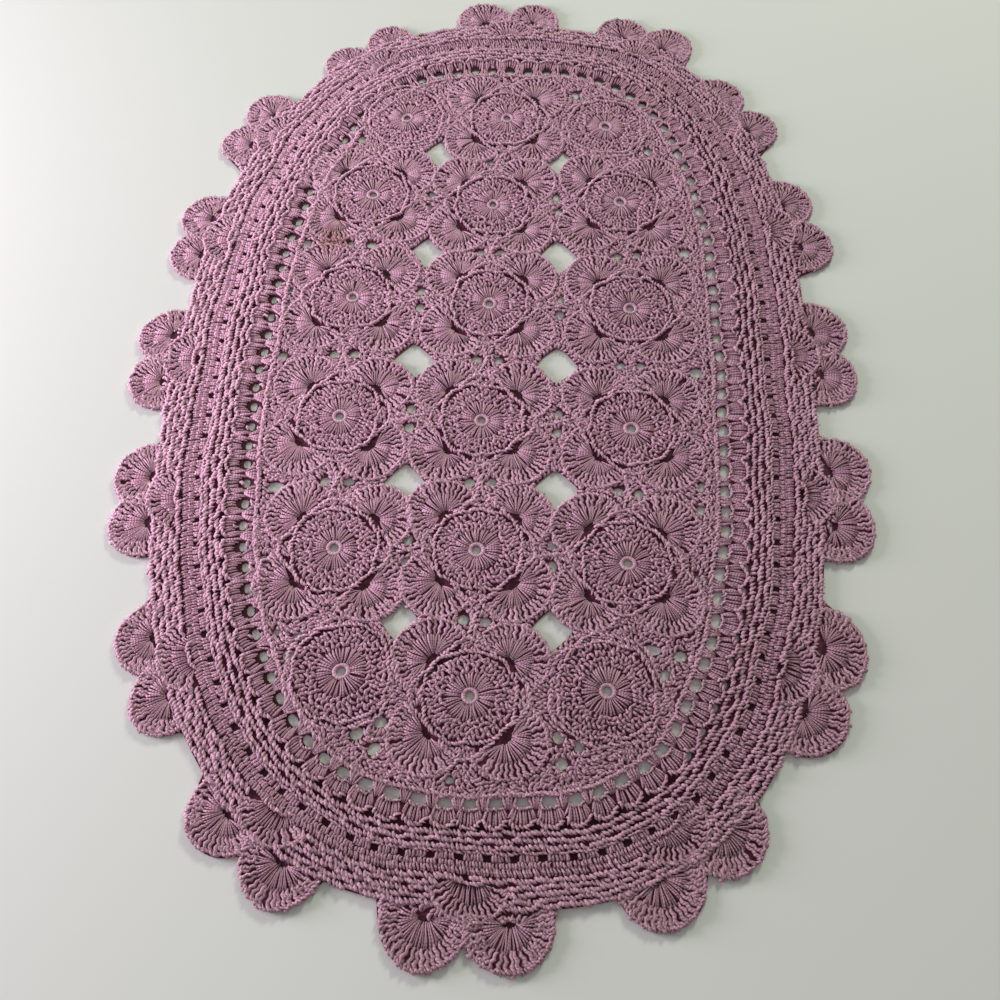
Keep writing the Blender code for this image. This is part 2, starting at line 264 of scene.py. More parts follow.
# The edge round a shell's gap that is painted dark as shadow: moved out of the band, then grown across it
# and along it.
SHADOW_COLLAR = (1.0, 1.6, 0.5)

# The half depth and half width of small gaps and of the pits painted dark as shade.
RIM_GAP = (1.3, 1.9)
RIM_PIT = (1.3, 2.0)
FAN_PIT = (1.2, 2.8)
LOBE_PIT = (0.9, 2.6)
HOLE_HALF_DEPTH = 1.3

# The plan is parted into cells to find bare ground. The closed rows take no loose loop, and the
# crowded ones only where there is room.
CELL = 0.5
GRID_CORNER = np.array((-165.0, -100.0))
GRID_CELLS = (660, 980)
CLOSED_ROWS = (12, 28.5)
CROWDED_ROWS = (-2, 42)

# How much one stitch differs from the next: in height as a share of the looseness, in width as a share
# of the width, and in roll in millimetres. No stitch reaches further down than the last value.
HEIGHT_DIFFERS = 1.1
WIDTH_DIFFERS = 0.09
ROLL_DIFFERS = 0.3
LOWEST = 0.03

# The stain's middle, in the frame.
STAIN_PLACE = (-78 * MM, 69.5 * MM, 2 * MM)

# The camera's photograph is square.
CAMERA_PLACE = (0.01619, -0.23561, 0.35079)
CAMERA_RIGHT = (0.99890, 0.04632, -0.00663)
CAMERA_DOWN = (0.03856, -0.89518, -0.44404)
CAMERA_FORWARD = (-0.02651, 0.44330, -0.89598)
CAMERA_LENS = 34.92

# Name, place, size, power and colour of each lamp.
LIGHTS = [
    ("key", (0.57, 1.235, 0.848), 0.35, 11.2, (0.92, 1.0, 0.82)),
    ("window", (-0.75, -0.02, 0.20), 0.30, 6.8, (0.97, 0.88, 1.0)),
]
WORLD_COLOUR = (1.0, 1.0, 0.96, 1.0)
WORLD_STRENGTH = 0.31
FLOOR_SIZE = 6.0

SEED = 7


def linear(hex_colour):
    """An sRGB hex colour as linear red, green, blue and alpha."""
    parts = [int(hex_colour[i:i + 2], 16) / 255 for i in (1, 3, 5)]
    return tuple(c / 12.92 if c <= 0.04045 else ((c + 0.055) / 1.055) ** 2.4 for c in parts) + (1.0,)


class DoilySizes(bpy.types.PropertyGroup):
    """The sizes of the stitches."""

    low: bpy.props.FloatProperty(
        name="Underside of stitches", description="How high the lowest strands lie", default=0.15 * MM,
        unit="LENGTH")
    looseness: bpy.props.FloatProperty(
        name="Looseness", description="How far a stitch strays from its place", default=0.19 * MM,
        unit="LENGTH")
    ground_low: bpy.props.FloatProperty(
        name="Ground's underside", description="How high the underside of the ground lies",
        default=0.35 * MM, unit="LENGTH")
    ground_high: bpy.props.FloatProperty(
        name="Ground's top", description="How high the top of the ground lies", default=0.75 * MM,
        unit="LENGTH")


class DoilyColours(bpy.types.PropertyGroup):
    """The colours of the cotton and of the stage."""

    yarn: bpy.props.FloatVectorProperty(
        name="Cotton", description="The cotton where light falls on it", size=4, subtype="COLOR",
        default=linear("#BF97A7"))
    # Paler cotton, used for random fading in patches and from stitch to stitch, and as painted light on the
    # left and far sides.
    faded_and_lit: bpy.props.FloatVectorProperty(
        name="Faded cotton", description="The paler cotton of washed and rubbed stitches", size=4,
        subtype="COLOR", default=linear("#EDBDD4"))
    # Painted shade: the cotton is painted dark down between the stitches, where shade falls.
    deep: bpy.props.FloatVectorProperty(
        name="Deep cotton", description="The cotton down between the stitches", size=4, subtype="COLOR",
        default=linear("#5C1733"))
    # Painted shade: the ground under the stitches is painted dark, where shade falls.
    under: bpy.props.FloatVectorProperty(
        name="Under cotton", description="The strands of the ground under the stitches", size=4,
        subtype="COLOR", default=linear("#622C44"))
    stain: bpy.props.FloatVectorProperty(
        name="Stain", description="The old rust-brown stain", size=4, subtype="COLOR",
        default=linear("#A8765C"))
    floor: bpy.props.FloatVectorProperty(
        name="Floor", description="The pale floor", size=4, subtype="COLOR", default=linear("#E4E6E2"))


def deselected():
    """Leaves nothing selected."""
    bpy.ops.object.select_all(action="DESELECT")


def in_order(points, triangles):
    """The same points and triangles in a settled order. Blender's tools don't list them alike each run."""
    order = np.lexsort(points.T)
    triangles = np.argsort(order)[triangles]
    first = triangles.argmin(axis=1)[:, None]
    triangles = np.take_along_axis(triangles, (first + np.arange(3)) % 3, axis=1)
    return points[order], triangles[np.lexsort(triangles.T)]


def taken_from(obj):
    """A mesh object's points and triangles as arrays. The object is then removed."""
    mesh = obj.data
    mesh.transform(obj.matrix_world)
    points = np.empty(len(mesh.vertices) * 3)
    mesh.vertices.foreach_get("co", points)
    mesh.calc_loop_triangles()
    triangles = np.empty(len(mesh.loop_triangles) * 3, dtype=np.int32)
    mesh.loop_triangles.foreach_get("vertices", triangles)
    bpy.data.objects.remove(obj, do_unlink=True)
    bpy.data.meshes.remove(mesh)
    return in_order(points.reshape(-1, 3), triangles.reshape(-1, 3))


def strand(line, radii, sides):
    """One strand, drawn out of a flat ring along a line that runs towards +Y, with closed ends."""
    deselected()
    bpy.ops.mesh.primitive_circle_add(
        vertices=sides, radius=radii[0], fill_type="NGON", location=line[0], rotation=(-math.pi / 2, 0, 0))
    obj = bpy.context.object
    bpy.ops.object.mode_set(mode="EDIT")
    bpy.ops.mesh.select_all(action="SELECT")
    for before, after, thin, thick in zip(line, line[1:], radii, radii[1:]):
        step = Vector(after) - Vector(before)
        bpy.ops.mesh.extrude_region_move(TRANSFORM_OT_translate={"value": step})
        bpy.ops.transform.resize(value=(thick / thin,) * 3, center_override=after)
    bpy.ops.mesh.select_all(action="SELECT")
    bpy.ops.mesh.normals_make_consistent(inside=False)
    bpy.ops.object.mode_set(mode="OBJECT")
    points, triangles = taken_from(obj)
    line = np.array(line)
    across = (points[:, 0] - np.interp(points[:, 1], line[:, 1], line[:, 0])) / max(radii)
    return points, triangles, across


def fitted(stitch):
    """A stitch fitted to a width and height of one."""
    points, triangles, across = stitch
    for axis in (0, 2):
        low, high = points[:, axis].min(), points[:, axis].max()
        points[:, axis] = (points[:, axis] - (low + high) / 2) / (high - low)
    return points, triangles, across


def post_stitch():
    """A treble's post: one rounded rib with a slight bend."""
    line = [(-0.04, -0.06, 0.0), (0.05, 0.3, 0.0), (-0.05, 0.7, 0.0), (0.04, 1.06, 0.0)]
    return fitted(strand(line, (0.36, 0.46, 0.46, 0.36), 4))


def rope_stitch():
    """One turn of a rope row: a strand that crosses from one side to the other and dives at its ends."""
    line = [(-0.26, -0.30, -0.04), (-0.15, 0.2, 0.03), (0.15, 0.8, 0.03), (0.26, 1.30, -0.04)]
    return fitted(strand(line, (0.22, 0.36, 0.36, 0.22), 3))


def curl_stitch():
    """A knotted stitch: one thick bowed strand that rises out of the work and goes back in."""
    line = [(-0.16, -0.12, -0.05), (0.13, 0.25, 0.04), (0.13, 0.75, 0.04), (-0.16, 1.12, -0.05)]
    return fitted(strand(line, (0.24, 0.36, 0.36, 0.24), 4))


def ridge_stitch():
    """A ridge of a fan: one thick strand that winds from side to side."""
    line = [(-0.1, -0.03, -0.05), (0.16, 0.17, 0.04), (-0.16, 0.38, -0.03), (0.16, 0.6, 0.05),
            (-0.16, 0.82, -0.02), (0.07, 1.04, 0.0)]
    return fitted(strand(line, (0.3, 0.37, 0.35, 0.37, 0.38, 0.3), 4))


def ring_stitch():
    """The ring of cotton round the eye of a motif, fitted to a height of one."""
    deselected()
    bpy.ops.mesh.primitive_torus_add(
        major_segments=20, minor_segments=6, major_radius=RING_RADIUS, minor_radius=RING_THICKNESS / 2)
    points, triangles = taken_from(bpy.context.object)
    points[:, 2] /= RING_THICKNESS
    return points, triangles, np.sin(np.arctan2(points[:, 1], points[:, 0]) * RING_TURNS)


def rays(angles):
    """The directions that several angles give, one to a row."""
    return np.column_stack((np.cos(angles), np.sin(angles)))


def left_of(directions):
    """One direction, or one to a row, after a quarter turn to the left."""
    return np.stack((-directions[..., 1], directions[..., 0]), axis=-1)


def heading(angle):
    """The direction that an angle gives, and the direction to the left of it."""
    out = np.array((math.cos(angle), math.sin(angle)))
    return out, left_of(out)


def bearing(direction):
    """The angle of a direction."""
    return math.atan2(direction[1], direction[0])


def turned(x, y, angle):
    """Plan points turned about the plan's origin."""
    return np.column_stack((x * math.cos(angle) - y * math.sin(angle),
                            x * math.sin(angle) + y * math.cos(angle)))


def reached_along(path):
    """How far along a line of plan points each of them lies."""
    return np.concatenate(([0.0], np.cumsum(np.linalg.norm(np.diff(path, axis=0), axis=1))))


def middles(rows):
    """The middle of each stitch."""
    return (rows[:, 0:2] + rows[:, 2:4]) / 2


def wander(places):
    """The slow drift of hand work, which no row escapes."""
    x, y = places[..., 0], places[..., 1]
    drift = np.stack((
        0.40 * np.sin(x / 7.3 + y / 11.0) + 0.30 * np.sin(y / 5.9 - x / 17.0 + 1.0),
        0.40 * np.sin(y / 8.1 - x / 12.0 + 2.0) + 0.30 * np.sin(x / 6.1 + y / 15.0 + 0.5),
    ), axis=-1)
    return places + drift


def rows_of(starts, ends, top, width):
    """Stitches as rows of numbers: where each starts and ends, then its two heights and its two widths.

    A height or a width is one number, or a pair where it isn't the same at the start and the end.
    """
    starts, ends = np.atleast_2d(starts), np.atleast_2d(ends)
    sizes = np.concatenate((np.broadcast_to(top, 2), np.broadcast_to(width, 2)))
    return np.column_stack((starts, ends, np.broadcast_to(sizes, (len(starts), 4))))


def worked(shape, rows, low, arch, rng, looseness):
    """Copies of one stitch, one for each row of numbers, with small differences between them."""
    points, triangles, across = shape
    count = len(rows)
    rows = rows.copy()
    rows[:, 0:2] = wander(rows[:, 0:2]) + rng.normal(0, looseness, (count, 2))
    rows[:, 2:4] = wander(rows[:, 2:4]) + rng.normal(0, looseness, (count, 2))
    rows[:, 4:6] += rng.normal(0, looseness * HEIGHT_DIFFERS, (count, 1))
    rows[:, 6:8] *= 1 + rng.normal(0, WIDTH_DIFFERS, (count, 1))
    start, along = rows[:, 0:2], rows[:, 2:4] - rows[:, 0:2]
    length = np.linalg.norm(along, axis=1)
    right = -left_of(along) / length[:, None]
    share = points[:, 1][None]
    middle = 4 * share * (1 - share)
    top = rows[:, 4:5] + (rows[:, 5:6] - rows[:, 4:5]) * share + arch * middle
    width = rows[:, 6:7] + (rows[:, 7:8] - rows[:, 6:7]) * np.clip(share, 0, 1)
    bow = rng.normal(0, looseness, (count, 1)) * middle
    places = (start[:, None] + along[:, None] * share[..., None]
              + right[:, None] * (width * points[:, 0][None] + bow)[..., None])
    roll = rng.normal(0, ROLL_DIFFERS, (count, 1)) * points[:, 0][None]
    height = np.maximum((top + low) / 2 + (top - low) * points[:, 2][None] + roll, LOWEST)
    yarn = np.empty((count, len(points), 3))
    yarn[..., 0] = across[None]
    yarn[..., 1] = share * length[:, None]
    yarn[..., 2] = rng.random((count, 1))
    placed = np.concatenate((places, height[..., None]), axis=2).reshape(-1, 3)
    faces = (triangles[None] + (np.arange(count) * len(points))[:, None, None]).reshape(-1, 3)
    return placed, faces, yarn.reshape(-1, 3)


def rings_at(shape, centres, top, low, rng):
    """Copies of the eye ring on the motifs' middles."""
    points, triangles, across = shape
    angle = np.arctan2(points[:, 1], points[:, 0])
    yarn = np.column_stack((across, RING_YARN_RADIUS * np.abs(angle), np.full(len(points), RING_TONE)))
    placed, faces = [], []
    for i, centre in enumerate(np.atleast_2d(centres)):
        turn = rng.random() * math.tau
        wide = 1 + rng.normal(0, RING_DIFFERS, 2)
        flat = turned(points[:, 0] * wide[0], points[:, 1] * wide[1], turn) + wander(centre)
        placed.append(np.column_stack((flat, (top + low) / 2 + (top - low) * points[:, 2])))
        faces.append(triangles + i * len(points))
    return np.concatenate(placed), np.concatenate(faces), np.tile(yarn, (len(placed), 1))


def joined_mesh(name, batches):
    """One object from several batches of points, triangles and yarn coordinates."""
    firsts = np.cumsum([0] + [len(batch[0]) for batch in batches[:-1]])
    points = np.concatenate([batch[0] for batch in batches])
    faces = np.concatenate([batch[1] + first for batch, first in zip(batches, firsts)])
    yarn = np.concatenate([batch[2] for batch in batches])
    points[:, 0:2] -= PLAN_MIDDLE
    points *= MM
    mesh = bpy.data.meshes.new(name)
    mesh.vertices.add(len(points))
    mesh.vertices.foreach_set("co", points.ravel())
    mesh.loops.add(faces.size)
    mesh.loops.foreach_set("vertex_index", faces.ravel())
    mesh.polygons.add(len(faces))
    mesh.polygons.foreach_set("loop_start", np.arange(0, faces.size, 3))
    mesh.polygons.foreach_set("loop_total", np.full(len(faces), 3))
    mesh.update(calc_edges=True)
    mesh.attributes.new("yarn", "FLOAT_VECTOR", "POINT").data.foreach_set("vector", yarn.ravel())
    if mesh.validate():
        raise RuntimeError(f"{name} has faces that aren't sound")
    mesh.shade_smooth()
    obj = bpy.data.objects.new(name, mesh)
    bpy.context.scene.collection.objects.link(obj)
    return obj


# How each kind of stitch is made, and how far its middle rises.
STITCHES = {
    "posts": (post_stitch, 0.25),
    "ropes": (rope_stitch, 0.2),
    "curls": (curl_stitch, 0.35),
    "ridges": (ridge_stitch, 0.15),
}

# The rows of all the stitches worked so far. The loose loops fill what these leave bare.
laid = []


def crochet(context, name, extra=(), **kinds):
    """One piece of the doily from the rows of each kind of stitch, finished in the doily's cotton."""
    sizes = context.scene.doily_sizes
    rng = np.random.default_rng([SEED, len(name)] + [len(rows) for rows in kinds.values()])
    low, loose = sizes.low / MM, sizes.looseness / MM
    batches = list(extra)
    for kind, rows in kinds.items():
        if len(rows):
            shape, arch = STITCHES[kind]
            batches.append(worked(shape(), np.concatenate(rows), low, arch, rng, loose))
            laid.extend(rows)
    obj = joined_mesh(name, batches)
    obj.data.materials.append(cotton(context))
    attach(obj, "root")
    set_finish(obj, "crochet_cotton")
    return obj


def chain(path, pitch, width, top, closed=False):
    """Links along a line of plan points."""
    path = np.asarray(path, dtype=float)
    if closed:
        path = np.concatenate((path, path[:1]))
    reached = reached_along(path)
    wanted = np.linspace(0, reached[-1], max(2, round(reached[-1] / pitch)) + 1)
    places = np.column_stack([np.interp(wanted, reached, path[:, i]) for i in (0, 1)])
    return rows_of(places[:-1], places[1:], top, width)


def band_edge(angles):
    """The band's outer edge in each direction, and the direction that points out of it."""
    ray = rays(angles)
    power = np.empty_like(angles)
    for (right, far), squareness in SQUARENESS.items():
        power[((ray[:, 0] > 0) == (right > 0)) & ((ray[:, 1] > 0) == (far > 0))] = squareness
    half = np.array((BAND_HALF_WIDTH, BAND_HALF_LENGTH))
    shares = np.abs(ray / half)
    radius = (shares[:, 0] ** power + shares[:, 1] ** power) ** (-1 / power)
    normal = np.copysign((radius[:, None] * shares) ** (power - 1)[:, None] / half, ray)
    normal /= np.linalg.norm(normal, axis=1)[:, None]
    return BAND_CENTRE + ray * radius[:, None], normal


def band_place(angles, inset):
    """Points of the row that lies this far inside the band's edge, and the way out of the band there."""
    edge, normal = band_edge(angles)
    inset = np.asarray(inset) * (1 - END_NARROWING * np.abs(normal[:, 1]))
    return edge - normal * inset[:, None], normal


def even_angles(count, inset, shift=0.0):
    """Directions from the oval's middle that part one row of the band into equal lengths."""
    steps = np.linspace(0, math.tau, ROW_STEPS + 1)
    reached = reached_along(band_place(steps, inset)[0])
    wanted = (np.arange(count) + shift) / count * reached[-1]
    return np.interp(wanted % reached[-1], reached, steps)


def insets_of(places):
    """How far inside the band's edge each plan point lies."""
    offset = places - BAND_CENTRE
    edge, normal = band_edge(np.arctan2(offset[:, 1], offset[:, 0]))
    return ((edge - places) * normal).sum(axis=1) / (1 - END_NARROWING * np.abs(normal[:, 1]))


def row_length(inset):
    """How long a row of the band is."""
    path, _ = band_place(np.linspace(0, math.tau, ROW_STEPS + 1), inset)
    return reached_along(path)[-1]


def spokes(centre, angles, radius):
    """Plan points around a middle."""
    return np.asarray(centre) + rays(angles) * np.reshape(radius, (-1, 1))


def pebbles(centre, radii, rng):
    """Rounds of short curls about a middle, each turned its own way, as small as pebbles."""
    curls = []
    for radius in radii:
        count = round(math.tau * radius / PEBBLE_PITCH)
        angles = (np.arange(count) + rng.random()) / count * math.tau
        middle = spokes(centre, angles, radius + rng.normal(0, 0.25, count))
        facing = angles + rng.normal(0, 0.55, count) + 0.35 * (-1.0) ** np.arange(count)
        half = rays(facing) * CURL_HALF_LENGTH
        curls.append(rows_of(middle - half, middle + half, top=2.05, width=CURL_WIDTH))
    return curls


def medallion(centre, turn, fans, rng):
    """The rounds of one medallion: fine posts, then pebbly curls."""
    angles = np.arange(MEDALLION_POSTS) / MEDALLION_POSTS * math.tau + turn
    starts, ends = [spokes(centre, angles, reach) for reach in MEDALLION_POSTS_REACH]
    return {"posts": [rows_of(starts, ends, top=(1.7, 1.95), width=(0.7, 1.3))],
            "curls": pebbles(centre, PEBBLE_ROUNDS[fans], rng)}


def medallion_chains(centre, fans):
    """The wobbly rope round a medallion, and a second one outside it.

    Where there are fans, the second rope shows only at the four sides, between them.
    """
    angles = np.linspace(0, math.tau, 121)[:-1]
    inner = (MEDALLION_ROPE[fans] - 0.5 * np.cos(4 * angles) + 0.4 * np.sin(9 * angles + centre[0])
             + 0.25 * np.sin(14 * angles + centre[1]))
    ropes = [chain(spokes(centre, angles, inner), 1.65, width=1.65, top=2.15, closed=True)]
    if not fans:
        outer = PLAIN_ROPE + 0.7 * np.cos(7 * angles)
        return ropes + [chain(spokes(centre, angles, outer), 1.9, width=1.7, top=1.95, closed=True)]
    swing = np.linspace(-SIDE_ROPE_TURN, SIDE_ROPE_TURN, 24)
    reach = 18.6 + 3.6 * np.cos(swing / SIDE_ROPE_TURN * math.pi / 2) ** 1.5
    for quarter in range(4):
        side = quarter * math.pi / 2
        angles = np.linspace(side - SIDE_ROPE_TURN, side + SIDE_ROPE_TURN, 24)
        ropes.append(chain(spokes(centre, angles, reach), 1.9, width=1.7, top=2.0))
    return ropes


def fan(slot, facing, size, half_spread, rng, rise=0.0, wide=1.0):
    """One fan, worked outwards from a crescent slot: fine posts, then winding ridges with a low rope.

    A slot wider than usual has a rope along it.
    """
    facing = facing + rng.normal(0, 0.05)
    out, along = heading(facing)
    full = half_spread / FAN_FULL_SPREAD
    deep, broad = FAN_SLOT
    swing = np.linspace(-half_spread, half_spread, round(FAN_POSTS * full))
    starts = slot + (np.outer(np.cos(swing) * deep * wide, out)
                     + np.outer(np.sin(swing) * broad * wide, along)) * size
    ends = spokes(slot, facing + swing, FAN_POSTS_REACH * size)
    posts = [rows_of(starts, ends, top=(1.55 + rise, 2.0 + rise), width=(0.66 * size, 1.15 * size))]
    edge = np.linspace(facing - half_spread, facing + half_spread, 40)
    ropes = [chain(spokes(slot, edge, FAN_ROPE_REACH * size), 1.5, width=1.6, top=1.95 + rise)]
    if wide > 1:
        ropes.append(chain(starts - out * 0.8, 1.5, width=1.6, top=2.3 + rise))
    count = round(FAN_RIDGES * full)
    spread = facing + np.linspace(-half_spread, half_spread, count) + rng.normal(0, 0.01, count)
    odd = np.arange(count) % 2 == 1
    inner_reach, outer_reach = FAN_RIDGES_REACH
    inner = spokes(slot, spread, (inner_reach + rng.normal(0, 0.2, count)) * size)
    outer = spokes(slot, spread + rng.normal(0, 0.014, count),
                   outer_reach * size + np.where(odd, 0.25, -0.25))
    tops, widths = (2.0 + rise, 2.25 + rise), (1.75 * size, 3.05 * size)
    # Every other ridge is worked inwards, so that neighbours wind against each other.
    ridges = [rows_of(inner[odd], outer[odd], tops, widths),
              rows_of(outer[~odd], inner[~odd], tops[::-1], widths[::-1])]
    return {"posts": posts, "ropes": ropes, "ridges": ridges}


def edge_curls(loop):
    """Curls laid across a gap's edge, like the ends of the stitches that stop there."""
    middle = middles(chain(loop, CURL_WIDTH, width=0.0, top=0.0, closed=True))
    away = middle - loop.mean(axis=0)
    away /= np.linalg.norm(away, axis=1)[:, None]
    return rows_of(middle + away * 0.4, middle + away * 2.2, top=(1.85, 2.05), width=(1.8, 1.7))


def joins():
    """Pairs of neighbouring motifs that both have fans."""
    fanned = [np.array((x, y)) for x, y, fans in MOTIFS if fans]
    return [pair for pair in itertools.combinations(fanned, 2) if math.dist(*pair) < LONGEST_JOIN]


def net_of(first, second):
    """The crossed chains between two motifs."""
    middle = (first + second) / 2
    along = (second - first) / np.linalg.norm(second - first)
    across = left_of(along)
    links = []
    for side in (-1, 1):
        reach = along * NET_HALF_LENGTH + across * side * NET_HALF_WIDTH
        path = [middle - reach, middle, middle + reach]
        links.append(chain(path, 1.9, width=1.7, top=1.9))
    return links


def doily_outline():
    """The band and the lobes seen from above, as one loop of points."""
    angles = np.linspace(0, math.tau, OUTLINE_POINTS + 1)[:-1]
    edge, _ = band_edge(angles)
    reach = np.linalg.norm(edge - BAND_CENTRE, axis=1)
    ray = rays(angles)
    for slot, radius, _ in lobes():
        offset = slot - BAND_CENTRE
        along = ray @ offset
        within = (radius - 0.4) ** 2 - (offset @ offset - along ** 2)
        crossing = along + np.sqrt(np.maximum(within, 0))
        reach = np.where(within > 0, np.maximum(reach, crossing), reach)
    return BAND_CENTRE + ray * reach[:, None]


def lobes():
    """The two lobes of each scallop: the slot's place, the radius and the way the scallop faces."""
    places = []
    for x, y, faces, apart, radius in SCALLOPS:
        facing = math.radians(faces)
        _, along = heading(facing)
        for side in (-1, 1):
            places.append((np.array((x, y)) + along * side * apart / 2, radius, facing))
    return places


def base_fans():
    """The fan between the two lobes of each scallop: the slot's place and the way it faces."""
    places = []
    for x, y, faces, _, _ in SCALLOPS:
        facing = math.radians(faces)
        places.append((np.array((x, y)) - heading(facing)[0] * BASE_FAN_BACK, facing))
    return places


def motif_fans():
    """The four fans of each motif that has them: the motif's middle and the way the fan faces."""
    return [(np.array((x, y)), (corner + 0.5) * math.pi / 2)
            for x, y, fans in MOTIFS if fans for corner in range(4)]


def oval(centre, half_along, half_across, count, turn=0.0, squareness=2.0):
    """A loop of points around an ellipse, or around a diamond where the squareness is near 1."""
    angles = np.arange(count) / count * math.tau
    x = half_along * np.copysign(np.abs(np.cos(angles)) ** (2 / squareness), np.cos(angles))
    y = half_across * np.copysign(np.abs(np.sin(angles)) ** (2 / squareness), np.sin(angles))
    return np.asarray(centre) + turned(x, y, turn)


def openness(normal):
    """How far the work is stretched open: least at the left and far sides, fully at the right and near."""
    return float(np.clip(0.5 + 0.6 * normal[0] - 0.6 * normal[1], 0.15, 1.0))


def shell_gap(normal):
    """A shell gap's inset, half height and half width, which follow how the work is stretched there."""
    open_share = openness(normal)
    inset = SHELL_GAP_INSET + 0.9 * normal[0] + 1.4 * max(0.0, -normal[1])
    return inset, 1.4 + 0.75 * open_share, 1.9 + 1.1 * open_share


def shells_round(shift=0.0):
    """Each shell's gap: its middle, the way out of the band, then its inset, half height and half width."""
    angles = even_angles(SHELL_COUNT, SHELL_GAP_INSET)
    _, normals = band_place(angles, SHELL_GAP_INSET)
    sizes = np.array([shell_gap(normal) for normal in normals])
    places, _ = band_place(angles, sizes[:, 0] - shift)
    return list(zip(places, normals, sizes))


def shell_loops(shift, grow_across, grow_along):
    """A loop for each shell gap, moved out of the band and grown."""
    return [oval(place, half_height + grow_across, half_width + grow_along, 10, bearing(normal), 2.6)
            for place, normal, (_, half_height, half_width) in shells_round(shift)]


def diamond_loops():
    """A loop for each of the large square gaps."""
    return [oval((x, y), across, up, 20, squareness=1.15) for x, y, across, up in DIAMONDS]


def listed_gaps(gaps):
    """A loop for each gap of a list."""
    return [oval((x, y), width / 2, height / 2, 8) for x, y, width, height in gaps]


def field_gaps():
    """The gaps between the motifs, and those between the motifs and the shells."""
    gaps = diamond_loops()
    for first, second in joins():
        across = left_of(second - first) / np.linalg.norm(second - first)
        for side in (-1, 1):
            middle = (first + second) / 2 + across * side * JOIN_GAP_AWAY
            gaps.append(oval(middle, *JOIN_GAP, 8, bearing(across)))
    return gaps + listed_gaps(EDGE_GAPS)


def small_gaps():
    """The smaller gaps that lie clear of the others."""
    small = listed_gaps(SMALL_GAPS)
    places, normals = band_place(even_angles(SHELL_COUNT, SHELL_GAP_INSET, 0.5), RIM_INSET + 1.0)
    small += [oval(place, *RIM_GAP, 8, bearing(normal))
              for place, normal in zip(places, normals) if normal[0] > 0.7]
    return clear_of(small, field_gaps() + shell_loops(*SHADOW_COLLAR))


def gap_loops():
    """Every gap that is cut through the ground. The shell gaps come first."""
    eyes = [oval((x, y), EYE_RADIUS, EYE_RADIUS, 10) for x, y, _ in MOTIFS]
    return shell_loops(0.0, 0.0, 0.0) + eyes + field_gaps() + small_gaps()


def shade_pit_loops():
    """The deep places between stitches, where the ground is painted darkest as shade. They aren't cut
    through.
    """
    shade_pits = []
    for middle, corner in motif_fans():
        shade_pits.append(oval(middle + heading(corner)[0] * (FAN_REACH - 0.3), *FAN_PIT, 8, corner))
    for slot, _, facing in lobes():
        shade_pits.append(oval(slot, *LOBE_PIT, 8, facing))
    for slot, facing in base_fans():
        shade_pits.append(oval(slot - heading(facing)[0] * 0.3, *FAN_PIT, 8, facing))
    pitch = row_length(HOLE_INSET) / BAND_GROUPS
    for place, normal in zip(*band_place(even_angles(BAND_GROUPS, HOLE_INSET), HOLE_INSET)):
        half_width = (pitch - POSTS_IN_GROUP * post_spacing(normal)) / 2 + 0.5
        shade_pits.append(oval(place, HOLE_HALF_DEPTH, half_width, 8, bearing(normal), squareness=2.4))
    angles = even_angles(SHELL_COUNT, SHELL_GAP_INSET, 0.5)
    for place, normal in zip(*band_place(angles, RIM_INSET + 0.3)):
        shade_pits.append(oval(place, *RIM_PIT, 8, bearing(normal)))
    return shade_pits


def clear_of(loops, others):
    """Those loops that lie at least a little away from all the others, and from one another."""
    kept = []
    taken = [(loop.mean(axis=0), np.linalg.norm(loop - loop.mean(axis=0), axis=1).max())
             for loop in others]
    for loop in loops:
        middle = loop.mean(axis=0)
        reach = np.linalg.norm(loop - middle, axis=1).max()
        if all(math.dist(middle, other) > reach + size + 0.2 for other, size in taken):
            kept.append(loop)
            taken.append((middle, reach))
    return kept


def ground_mesh(name, low, high):
    """A thin closed sheet with the outline and the gaps of the doily. Its faces in the collars and the pits
    are marked for painted shade.
    """
    gaps = gap_loops()
    shadow_collars = shell_loops(*SHADOW_COLLAR)
    shade_pits = clear_of(shade_pit_loops(), gaps + shadow_collars)
    loops = [doily_outline()] + [wander(loop) for loop in gaps + shadow_collars + shade_pits]
    points = np.concatenate(loops)
    numbers, first = [], 0
    for loop in loops:
        numbers.append(list(range(first, first + len(loop))))
        first += len(loop)
    edges = [edge for loop in numbers for edge in zip(loop, loop[1:] + loop[:1])]
    cut = [edge for loop in numbers[:len(gaps) + 1] for edge in zip(loop, loop[1:] + loop[:1])]
    inside_only, tolerance = 1, 1e-5
    placed, _, faces, *_ = delaunay_2d_cdt([Vector(p) for p in points], edges, [], inside_only, tolerance)
    if len(placed) != len(points):
        raise RuntimeError("two gaps of the ground cross")
    loop_of = {i: number for number, loop in enumerate(numbers) for i in loop}
    kept, deep = [], []
    for face in faces:
        touched = {loop_of[i] for i in face}
        first_loop, last_loop = min(touched), max(touched)
        if len(touched) == 1 and 0 < first_loop <= len(gaps):
            continue
        kept.append(face)
        # Faces in a collar or a pit are marked for painted shade.
        in_shadow_collar = len(touched) == 2 and 0 < first_loop and last_loop == first_loop + len(gaps)
        deep.append(float(in_shadow_collar or (len(touched) == 1 and first_loop > len(gaps))))
    count = len(points)
    flat = (points - PLAN_MIDDLE) * MM
    corners = [(*p, high) for p in flat] + [(*p, low) for p in flat]
    walls = [(a, b, b + count, a + count) for a, b in cut]
    under = [tuple(i + count for i in reversed(face)) for face in kept]
    mesh = bpy.data.meshes.new(name)
    mesh.from_pydata(corners, [], [tuple(face) for face in kept] + under + walls)
    painted_shade_pit = mesh.attributes.new("painted_shade_pit", "FLOAT", "FACE")
    painted_shade_pit.data.foreach_set("value", deep * 2 + [0.0] * len(walls))
    return mesh


